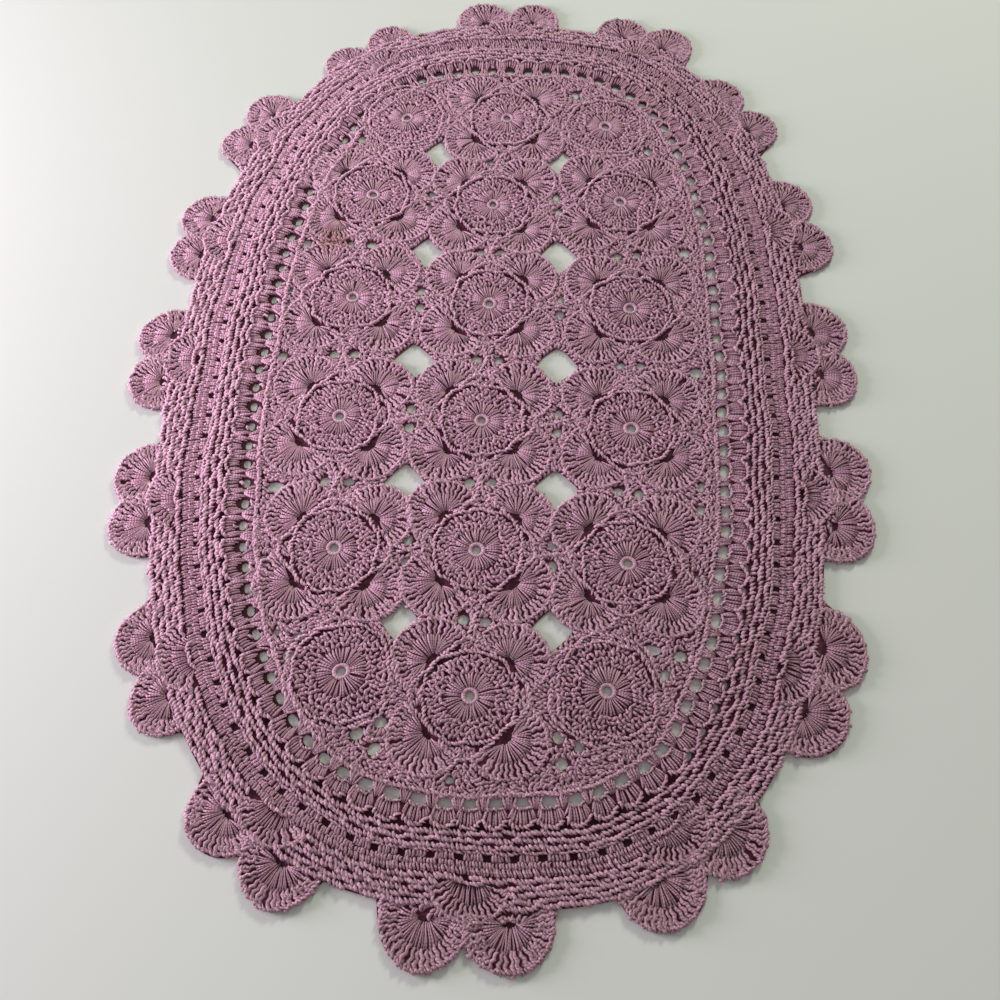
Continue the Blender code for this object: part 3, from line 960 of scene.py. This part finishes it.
class DOILY_OT_ground(bpy.types.Operator):
    """Lays the thin ground sheet that the stitches are worked on"""

    bl_idname = "doily.ground"
    bl_label = "Lay the ground sheet"

    def execute(self, context):
        deselected()
        sizes = context.scene.doily_sizes
        mesh = ground_mesh("cotton_ground", sizes.ground_low, sizes.ground_high)
        obj = bpy.data.objects.new("cotton_ground", mesh)
        context.scene.collection.objects.link(obj)
        context.view_layer.objects.active = obj
        obj.select_set(True)
        bpy.ops.object.mode_set(mode="EDIT")
        bpy.ops.mesh.select_all(action="SELECT")
        bpy.ops.mesh.normals_make_consistent(inside=False)
        bpy.ops.object.mode_set(mode="OBJECT")
        mesh.materials.append(painted_shade_ground_cotton(context))
        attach(obj, "root")
        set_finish(obj, "crochet_cotton")
        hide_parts("doily")
        return {"FINISHED"}


def gathered(parts):
    """The stitches of all the parts, kind by kind."""
    return {kind: [rows for part in parts for rows in part[kind]] for kind in parts[0]}


class DOILY_OT_medallions(bpy.types.Operator):
    """Works the round medallion of each motif, with its eye ring"""

    bl_idname = "doily.medallions"
    bl_label = "Work the medallions"

    def execute(self, context):
        rng = np.random.default_rng([SEED, 1])
        rounds = [medallion((x, y), rng.random() * math.tau, fans, rng) for x, y, fans in MOTIFS]
        low = context.scene.doily_sizes.low / MM
        rings = rings_at(ring_stitch(), [motif[:2] for motif in MOTIFS], RING_TOP, low, rng)
        crochet(context, "medallions", [rings], **gathered(rounds))
        return {"FINISHED"}


class DOILY_OT_chains(bpy.types.Operator):
    """Works the ropes round the medallions, the nets that join the motifs and the edges of the gaps"""

    bl_idname = "doily.chains"
    bl_label = "Work the joining chains"

    def execute(self, context):
        ropes = [rope for x, y, fans in MOTIFS for rope in medallion_chains((x, y), fans)]
        ropes += [rope for first, second in joins() for rope in net_of(first, second)]
        curls = [edge_curls(loop) for loop in diamond_loops()]
        crochet(context, "joining_chains", ropes=ropes, curls=curls)
        return {"FINISHED"}


def beyond(rows, centre, radius):
    """The stitches whose middles lie further than this from a place."""
    return rows[np.linalg.norm(middles(rows) - centre, axis=1) > radius]


class DOILY_OT_fans(bpy.types.Operator):
    """Works the four fans of each motif"""

    bl_idname = "doily.fans"
    bl_label = "Work the fans"

    def execute(self, context):
        for name, far in (("near_fans", False), ("far_fans", True)):
            rng = np.random.default_rng([SEED, 2, len(name)])
            fans = []
            for middle, facing in motif_fans():
                if (middle[1] >= FAR_FROM) == far:
                    slot = middle + heading(facing)[0] * FAN_REACH
                    made = fan(slot, facing, 1.0, MOTIF_FAN_SPREAD, rng)
                    fans.append({kind: [beyond(rows, middle, MEDALLION_REACH) for rows in made[kind]]
                                 for kind in made})
            crochet(context, name, **gathered(fans))
        return {"FINISHED"}


def shell(gap, out, size):
    """One shell: posts from its gap to its rounded rim, and the ropes along the gap and the rim."""
    inset, half_height, half_width = size
    along = left_of(out)
    reach = (inset - RIM_INSET) * (1 - END_NARROWING * abs(out[1]))
    open_share = openness(out)
    swing = np.linspace(-1.35, 1.35, 10)
    beside = (3.8 + (0.9 * half_width - 3.5) * open_share) * np.sin(swing)
    arched = np.sqrt(np.maximum(0.0, 1 - (beside / (half_width + 0.7)) ** 2))
    above = (half_height + 0.4 + 2.1 * (1 - open_share)) * arched
    starts = gap + np.outer(above, out) + np.outer(beside, along)
    ends = (gap + np.outer(reach - 0.9 - (1.8 + 1.9 * open_share) * (1 - np.cos(swing)), out)
            + np.outer(np.sin(swing) * 4.4, along))
    ropes = [chain(starts, 1.4, width=1.3, top=2.0)] if open_share > 0.5 else []
    swing = np.linspace(-1.25, 1.25, 12)
    rim = (gap + np.outer(reach - (2.4 + 1.9 * open_share) * (1 - np.cos(swing)), out)
           + np.outer(np.sin(swing) * 4.5, along))
    ropes.append(chain(rim, 1.6, width=1.8, top=2.45))
    return rows_of(starts, ends, top=(1.7, 2.2), width=(0.95, 1.35)), ropes


def tufts():
    """The tufts of posts between the shells, each of five that spread inwards."""
    angles = even_angles(SHELL_COUNT, SHELL_GAP_INSET, 0.5)
    places, normals = band_place(angles, SHELL_GAP_INSET - 1.0)
    along = left_of(normals)
    spread = np.array([3.0 - 0.9 * openness(normal) for normal in normals])[:, None]
    posts = []
    for lean in (-1.0, -0.5, 0.0, 0.5, 1.0):
        starts = places + along * lean * 0.8
        ends = places - normals * (4.9 - 0.8 * abs(lean)) + along * lean * spread
        posts.append(rows_of(starts, ends, top=(1.8, 2.1), width=(1.0, 1.6)))
    return posts


def right_net():
    """The two crossing chains inside the shells on the right."""
    angles = np.linspace(-0.85, 0.95, 700)
    paths = [band_place(angles, RIGHT_NET_INSET + swing * np.sin(angles * 90))[0] for swing in (1.2, -1.2)]
    return [chain(path, 1.65, width=1.5, top=1.9) for path in paths]


class DOILY_OT_shells(bpy.types.Operator):
    """Works the row of small shells round the field, with the chains inside it"""

    bl_idname = "doily.shells"
    bl_label = "Work the shells"

    def execute(self, context):
        posts, ropes = [], []
        for gap, out, size in shells_round():
            shell_posts, shell_ropes = shell(gap, out, size)
            posts.append(shell_posts)
            ropes += shell_ropes
        posts += tufts()
        ropes += wavy_rows(FIELD_ROWS, SHELL_COUNT, swing=0.5, width=1.6, top=2.0)
        crochet(context, "shells", posts=posts, ropes=ropes + right_net())
        return {"FINISHED"}


def wavy_rows(insets, waves, swing, width, top):
    """Chain rows along the band that meet and part from their neighbours by turns."""
    count = ROW_STEPS // 2
    links = []
    for i, inset in enumerate(insets):
        phase = np.arange(count) / count * waves * math.tau + math.pi * i
        swung = inset + swing * np.sin(phase + 0.8 * np.sin(phase / 7))
        path, _ = band_place(even_angles(count, inset), swung)
        links.append(chain(path, 1.65, width, top, closed=True))
    return links


class DOILY_OT_chain_rows(bpy.types.Operator):
    """Works the three chain rows between the shells and the band of posts"""

    bl_idname = "doily.chain_rows"
    bl_label = "Work the inner chain rows"

    def execute(self, context):
        ropes = wavy_rows(INNER_ROWS, 104, swing=0.4, width=2.15, top=2.25)
        crochet(context, "inner_chain_rows", ropes=ropes)
        return {"FINISHED"}


def post_spacing(normal):
    """How far apart the posts of a group are. They crowd towards the near end, where the holes widen."""
    return 1.24 - 0.16 * float(np.clip(-normal[1], 0, 1))


class DOILY_OT_band(bpy.types.Operator):
    """Works the row of grouped posts and the two rows of ribs of the band"""

    bl_idname = "doily.band"
    bl_label = "Work the band of posts"

    def execute(self, context):
        posts = []
        angles = even_angles(BAND_GROUPS, HOLE_INSET, 0.5)
        starts, normals = band_place(angles, GROUP_ROW[0])
        ends, _ = band_place(angles, GROUP_ROW[1])
        spacing = np.array([post_spacing(normal) for normal in normals])
        for post in range(POSTS_IN_GROUP):
            offset = left_of(normals) * ((post - (POSTS_IN_GROUP - 1) / 2) * spacing)[:, None]
            posts.append(rows_of(starts + offset, ends + offset * 1.05, (1.9, 2.1), (1.45, 1.5)))
        count = round(row_length(RIB_INSET) / RIB_PITCH)
        angles = even_angles(count, RIB_INSET)
        for first, last, lean in RIB_ROWS:
            starts, _ = band_place(angles, first)
            ends, _ = band_place(angles + lean * math.tau / count, last)
            posts.append(rows_of(starts, ends, (1.95, 2.05), (1.3, 1.35)))
        ropes = wavy_rows(GROUP_ROW[:1], BAND_GROUPS, swing=0.15, width=1.3, top=2.1)
        crochet(context, "post_band", posts=posts, ropes=ropes)
        return {"FINISHED"}


class DOILY_OT_outer_rows(bpy.types.Operator):
    """Works the five chain rows at the outer edge of the band, which stop at the scallops' base fans"""

    bl_idname = "doily.outer_rows"
    bl_label = "Work the outer chain rows"

    def execute(self, context):
        kept = []
        for rows in wavy_rows(OUTER_ROWS, 112, swing=0.42, width=2.2, top=2.15):
            bare = np.ones(len(rows), dtype=bool)
            for slot, facing in base_fans():
                offset = middles(rows) - slot
                reach = np.linalg.norm(offset, axis=1)
                ahead = offset @ heading(facing)[0] > reach * math.cos(BASE_FAN_SPREAD + 0.1)
                bare &= ~((reach < FAN_ROPE_REACH * BASE_FAN_SIZE) & ahead)
            kept.append(rows[bare])
        crochet(context, "outer_chain_rows", ropes=kept)
        return {"FINISHED"}


class DOILY_OT_scallops(bpy.types.Operator):
    """Works the sixteen scallops of two lobes each, and the base fan of each"""

    bl_idname = "doily.scallops"
    bl_label = "Work the scallops"

    def execute(self, context):
        rng = np.random.default_rng([SEED, 3])
        pairs = lobes()
        fans = []
        for right, left, (base, facing) in zip(pairs[::2], pairs[1::2], base_fans()):
            for (slot, radius, _), lean in ((right, -LOBE_LEAN), (left, LOBE_LEAN)):
                fans.append(fan(slot, facing + lean, radius / LOBE_RADIUS, LOBE_SPREAD, rng))
            fans.append(fan(base, facing, BASE_FAN_SIZE, BASE_FAN_SPREAD, rng, rise=0.1, wide=2.0))
        crochet(context, "scallops", **gathered(fans))
        return {"FINISHED"}


def finished_rounds():
    """The middles and radii of the rounds that no loose loop goes into."""
    rounds = [(np.array((x, y)), 16.9 if fans else 17.7) for x, y, fans in MOTIFS]
    rounds += [(middle + heading(corner)[0] * (FAN_REACH + 2.2), 13.2) for middle, corner in motif_fans()]
    rounds += [(slot + heading(facing)[0] * radius * 0.45, radius * 0.5) for slot, radius, facing in lobes()]
    return rounds + [(slot + heading(facing)[0] * 4.0, 8.5) for slot, facing in base_fans()]


def cover(covered, places, reach=1):
    """Marks the cells of the plan around some places as covered."""
    cells = ((np.atleast_2d(places) - GRID_CORNER) / CELL).astype(int)
    for across in range(-reach, reach + 1):
        for up in range(-reach, reach + 1):
            covered[cells[:, 0] + across, cells[:, 1] + up] = True


def covered_plan():
    """The cells of the plan that take no loose loop, and those where a loop needs room all round it."""
    covered = np.zeros(GRID_CELLS, dtype=bool)
    covered[[0, -1]] = True
    covered[:, [0, -1]] = True
    rows = np.concatenate(laid)
    for share in np.linspace(0, 1, 7):
        cover(covered, wander(rows[:, 0:2] + (rows[:, 2:4] - rows[:, 0:2]) * share))
    corners = GRID_CORNER + np.indices(covered.shape).reshape(2, -1).T * CELL
    for centre, radius in finished_rounds():
        covered |= (np.linalg.norm(corners - wander(centre), axis=1) < radius).reshape(covered.shape)
    insets = insets_of(corners).reshape(covered.shape)
    covered |= (insets > CLOSED_ROWS[0]) & (insets < CLOSED_ROWS[1])
    for loop in shade_pit_loops():
        reach = np.linalg.norm(loop - loop.mean(axis=0), axis=1).mean()
        cover(covered, wander(loop).mean(axis=0), round(reach / CELL))
    return covered, (insets > CROWDED_ROWS[0]) & (insets < CROWDED_ROWS[1])


class DOILY_OT_loose_loops(bpy.types.Operator):
    """Fills the ground that is still bare with small loose loops"""

    bl_idname = "doily.loose_loops"
    bl_label = "Fill with loose loops"

    def execute(self, context):
        rng = np.random.default_rng([SEED, 4])
        covered, narrow = covered_plan()
        ground = bpy.data.objects["cotton_ground"]

        def on_ground(place):
            above = Vector((*((place - PLAN_MIDDLE) * MM), 10 * MM))
            return ground.ray_cast(above, Vector((0, 0, -1)))[0]

        starts, ends = [], []
        open_cells = np.argwhere(~covered)
        rng.shuffle(open_cells)
        for cell in open_cells:
            near = covered[cell[0] - 1:cell[0] + 2, cell[1] - 1:cell[1] + 2]
            if near[1, 1] or (narrow[tuple(cell)] and near.any()):
                continue
            place = GRID_CORNER + (cell + rng.random(2)) * CELL
            angle = 1.5 * math.sin(place[0] / 6) + 1.5 * math.cos(place[1] / 7) + rng.normal(0, 0.4)
            half = heading(angle)[0] * CURL_HALF_LENGTH
            side = left_of(half) * 0.6
            if all(on_ground(place + step) for step in (-half, half, -side, side)):
                starts.append(place - half)
                ends.append(place + half)
                cover(covered, [place + half * share for share in (-0.7, 0.0, 0.7)])
        if not starts:
            raise RuntimeError("no bare ground was found")
        crochet(context, "loose_loops", curls=[rows_of(starts, ends, top=(1.8, 1.95), width=CURL_WIDTH)])
        return {"FINISHED"}


class DOILY_OT_cloth(bpy.types.Operator):
    bl_idname = "doily.cloth"
    bl_label = "Declare the sheet"

    def execute(self, context):
        return {"FINISHED"}


def add_node(tree, kind, links=(), **settings):
    """Adds a node, sets its properties and input values, and links its inputs."""
    node = tree.nodes.new(kind)
    for name, value in settings.items():
        if name == "inputs":
            for key, number in value.items():
                node.inputs[key].default_value = number
        else:
            setattr(node, name, value)
    for key, output in dict(links).items():
        tree.links.new(output, node.inputs[key])
    return node


def cotton(context):
    """Mercerised crochet cotton with a mauve dye: slanted plies, a faint silky sheen, paler where rubbed,
    with painted light and painted shade laid into its colour.
    """
    name = "mercerised_crochet_cotton"
    if name in bpy.data.materials:
        return bpy.data.materials[name]
    colours = context.scene.doily_colours
    material = bpy.data.materials.new(name)
    material.use_nodes = True
    tree = material.node_tree
    shader = tree.nodes["Principled BSDF"]
    where = add_node(tree, "ShaderNodeTexCoord")
    yarn = add_node(tree, "ShaderNodeAttribute", attribute_name="yarn")
    parts = add_node(tree, "ShaderNodeSeparateXYZ", {0: yarn.outputs["Vector"]})
    place = add_node(tree, "ShaderNodeSeparateXYZ", {0: where.outputs["Object"]})
    # Washing has worn the dye paler in soft patches about 20 mm across.
    patches = add_node(tree, "ShaderNodeTexNoise", {"Vector": where.outputs["Object"]},
                       inputs={"Scale": 1 / (20 * MM), "Detail": 2.0, "Roughness": 0.5})
    # Painted light: the cotton is painted paler towards the left and far sides and darker towards the near
    # end, as if more light falls on the left and far sides.
    across = add_node(tree, "ShaderNodeMapRange", {"Value": place.outputs["X"]},
                      inputs={"From Min": -150 * MM, "From Max": 150 * MM, "To Min": 0.6, "To Max": -0.2})
    up = add_node(tree, "ShaderNodeMapRange", {"Value": place.outputs["Y"]},
                  inputs={"From Min": -230 * MM, "From Max": -60 * MM, "To Min": -0.42, "To Max": 0.15})
    painted_light_gradient = add_node(tree, "ShaderNodeMath", {0: across.outputs[0], 1: up.outputs[0]}, operation="ADD")
    fade_and_painted_light = add_node(tree, "ShaderNodeMath",
                    {0: parts.outputs["Z"], 1: patches.outputs["Fac"], 2: painted_light_gradient.outputs[0]},
                    operation="MULTIPLY_ADD", use_clamp=True)
    faded_and_lit_colour = add_node(tree, "ShaderNodeMix", {"Factor": fade_and_painted_light.outputs[0]}, data_type="RGBA",
                    inputs={"A": colours.yarn, "B": colours.faded_and_lit})
    # Painted shade: the low parts of a stitch and the edges of each strand are painted towards the deep
    # colour, where shade falls between the stitches.
    low = add_node(tree, "ShaderNodeMapRange", {"Value": place.outputs["Z"]},
                   inputs={"From Min": 0.35 * MM, "From Max": 1.35 * MM, "To Min": 1.0, "To Max": 0.0})
    flank = add_node(tree, "ShaderNodeMath", {0: parts.outputs["X"]}, operation="ABSOLUTE")
    side = add_node(tree, "ShaderNodeMapRange", {"Value": flank.outputs[0]},
                    inputs={"From Min": 0.5, "From Max": 1.0, "To Min": 0.0, "To Max": 0.45})
    painted_shade = add_node(tree, "ShaderNodeMath", {0: low.outputs[0], 1: side.outputs[0]}, operation="MAXIMUM")
    painted_shade_colour = add_node(tree, "ShaderNodeMix", {"Factor": painted_shade.outputs[0], "A": faded_and_lit_colour.outputs["Result"]},
                    data_type="RGBA", inputs={"B": colours.deep})
    # The stain is a blot about 16 mm across, with a ragged edge.
    blot = add_node(tree, "ShaderNodeVectorMath", {0: where.outputs["Object"]}, operation="DISTANCE",
                    inputs={1: STAIN_PLACE})
    ragged = add_node(tree, "ShaderNodeTexNoise", {"Vector": where.outputs["Object"]},
                      inputs={"Scale": 1 / (4 * MM), "Detail": 3.0})
    edge = add_node(tree, "ShaderNodeMath", {0: ragged.outputs["Fac"], 2: blot.outputs["Value"]},
                    operation="MULTIPLY_ADD", inputs={1: 10 * MM})
    amount = add_node(tree, "ShaderNodeMapRange", {"Value": edge.outputs[0]},
                      inputs={"From Min": 8 * MM, "From Max": 15 * MM, "To Min": 0.5, "To Max": 0.0})
    stained = add_node(tree, "ShaderNodeMix", {"Factor": amount.outputs[0], "A": painted_shade_colour.outputs["Result"]},
                       data_type="RGBA", inputs={"B": colours.stain})
    tree.links.new(stained.outputs["Result"], shader.inputs["Base Color"])
    # The plies turn once in about 1.1 mm along a strand and show as slanted ridges.
    turn = add_node(tree, "ShaderNodeMath", {0: parts.outputs["X"], 2: parts.outputs["Y"]},
                    operation="MULTIPLY_ADD", inputs={1: 0.35})
    phase = add_node(tree, "ShaderNodeMath", {0: turn.outputs[0]}, operation="MULTIPLY",
                     inputs={1: math.tau / 1.1})
    ply = add_node(tree, "ShaderNodeMath", {0: phase.outputs[0]}, operation="SINE")
    twist = add_node(tree, "ShaderNodeBump", {"Height": ply.outputs[0]},
                     inputs={"Strength": 0.7, "Distance": 0.1 * MM})
    # Fine fibres stand off the yarn, a few tenths of a millimetre apart.
    fibres = add_node(tree, "ShaderNodeTexNoise", {"Vector": where.outputs["Object"]},
                      inputs={"Scale": 1 / (0.4 * MM), "Detail": 2.0})
    fuzz = add_node(tree, "ShaderNodeBump", {"Height": fibres.outputs["Fac"], "Normal": twist.outputs[0]},
                    inputs={"Strength": 0.35, "Distance": 0.1 * MM})
    tree.links.new(fuzz.outputs[0], shader.inputs["Normal"])
    shader.inputs["Roughness"].default_value = 0.72
    shader.inputs["Sheen Weight"].default_value = 0.05
    shader.inputs["Sheen Roughness"].default_value = 0.45
    shader.inputs["Specular IOR Level"].default_value = 0.12
    return material


def painted_shade_ground_cotton(context):
    """The cotton of the ground sheet, painted dark as the shade down between the stitches, where strands
    cross.
    """
    colours = context.scene.doily_colours
    material = bpy.data.materials.new("crochet_cotton_ground")
    material.use_nodes = True
    tree = material.node_tree
    shader = tree.nodes["Principled BSDF"]
    where = add_node(tree, "ShaderNodeTexCoord")
    # Crossing strands, about 1.2 mm apart, between two colours of painted shade.
    strands = add_node(tree, "ShaderNodeTexVoronoi", {"Vector": where.outputs["Object"]},
                       inputs={"Scale": 1 / (1.2 * MM)})
    shade = add_node(tree, "ShaderNodeMix", {"Factor": strands.outputs["Distance"]}, data_type="RGBA",
                     inputs={"A": colours.under, "B": colours.deep})
    # Painted shade: the pits and the collars round the shell gaps are painted darker still.
    painted_shade_pit = add_node(tree, "ShaderNodeAttribute", attribute_name="painted_shade_pit")
    dark = add_node(tree, "ShaderNodeMix", {"Factor": painted_shade_pit.outputs["Fac"], "A": shade.outputs["Result"]},
                    data_type="RGBA", inputs={"B": tuple(0.4 * c for c in colours.deep[:3]) + (1.0,)})
    tree.links.new(dark.outputs["Result"], shader.inputs["Base Color"])
    relief = add_node(tree, "ShaderNodeBump", {"Height": strands.outputs["Distance"]}, invert=True,
                      inputs={"Strength": 0.8, "Distance": 0.3 * MM})
    tree.links.new(relief.outputs[0], shader.inputs["Normal"])
    shader.inputs["Roughness"].default_value = 0.9
    return material


class DOILY_OT_stage(bpy.types.Operator):
    """Sets out the floor, the lights and the camera"""

    bl_idname = "doily.stage"
    bl_label = "Set the stage"

    def execute(self, context):
        deselected()
        bpy.ops.mesh.primitive_plane_add(size=FLOOR_SIZE, location=(0, 0, 0))
        floor = context.object
        floor.name = "floor"
        material = bpy.data.materials.new("matt_pale_floor")
        material.use_nodes = True
        shader = material.node_tree.nodes["Principled BSDF"]
        shader.inputs["Base Color"].default_value = context.scene.doily_colours.floor
        shader.inputs["Roughness"].default_value = 0.95
        floor.data.materials.append(material)

        for name, place, size, energy, colour in LIGHTS:
            lamp = bpy.data.lights.new(name, "AREA")
            lamp.size = size
            lamp.energy = energy
            lamp.color = colour
            holder = bpy.data.objects.new(name, lamp)
            holder.location = place
            holder.rotation_euler = (-Vector(place)).to_track_quat("-Z", "Y").to_euler()
            context.scene.collection.objects.link(holder)

        world = bpy.data.worlds.new("soft_room")
        world.use_nodes = True
        world.node_tree.nodes["Background"].inputs["Color"].default_value = WORLD_COLOUR
        world.node_tree.nodes["Background"].inputs["Strength"].default_value = WORLD_STRENGTH
        context.scene.world = world
        context.scene.view_settings.view_transform = "Standard"

        camera = bpy.data.cameras.new("camera")
        camera.lens = CAMERA_LENS
        camera.sensor_width = 36
        camera.clip_start = 0.01
        holder = bpy.data.objects.new("camera", camera)
        columns = [Vector(CAMERA_RIGHT), -Vector(CAMERA_DOWN), -Vector(CAMERA_FORWARD)]
        turn = Matrix(columns).transposed()
        holder.matrix_world = Matrix.Translation(CAMERA_PLACE) @ turn.to_4x4()
        context.scene.collection.objects.link(holder)
        context.scene.camera = holder
        return {"FINISHED"}


class DOILY_PT_panel(bpy.types.Panel):
    """Lists the steps of the work"""

    bl_idname = "DOILY_PT_panel"
    bl_label = "Doily"
    bl_space_type = "VIEW_3D"
    bl_region_type = "UI"
    bl_category = "Doily"

    def draw(self, context):
        for step in STEPS:
            self.layout.operator(step.bl_idname)
        for group in (context.scene.doily_sizes, context.scene.doily_colours):
            for name in group.__annotations__:
                self.layout.prop(group, name)


STEPS = (
    DOILY_OT_stage,
    DOILY_OT_ground,
    DOILY_OT_medallions,
    DOILY_OT_chains,
    DOILY_OT_fans,
    DOILY_OT_shells,
    DOILY_OT_chain_rows,
    DOILY_OT_band,
    DOILY_OT_outer_rows,
    DOILY_OT_scallops,
    DOILY_OT_loose_loops,
    DOILY_OT_cloth,
)
CLASSES = (DoilySizes, DoilyColours, DOILY_PT_panel) + STEPS


def register():
    for made in CLASSES:
        bpy.utils.register_class(made)
    bpy.types.Scene.doily_sizes = bpy.props.PointerProperty(type=DoilySizes)
    bpy.types.Scene.doily_colours = bpy.props.PointerProperty(type=DoilyColours)


def unregister():
    del bpy.types.Scene.doily_colours
    del bpy.types.Scene.doily_sizes
    for made in reversed(CLASSES):
        bpy.utils.unregister_class(made)


def main():
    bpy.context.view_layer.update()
    register()
    for step in STEPS:
        group, name = step.bl_idname.split(".")
        getattr(getattr(bpy.ops, group), name)()


if __name__ == "__main__":
    main()
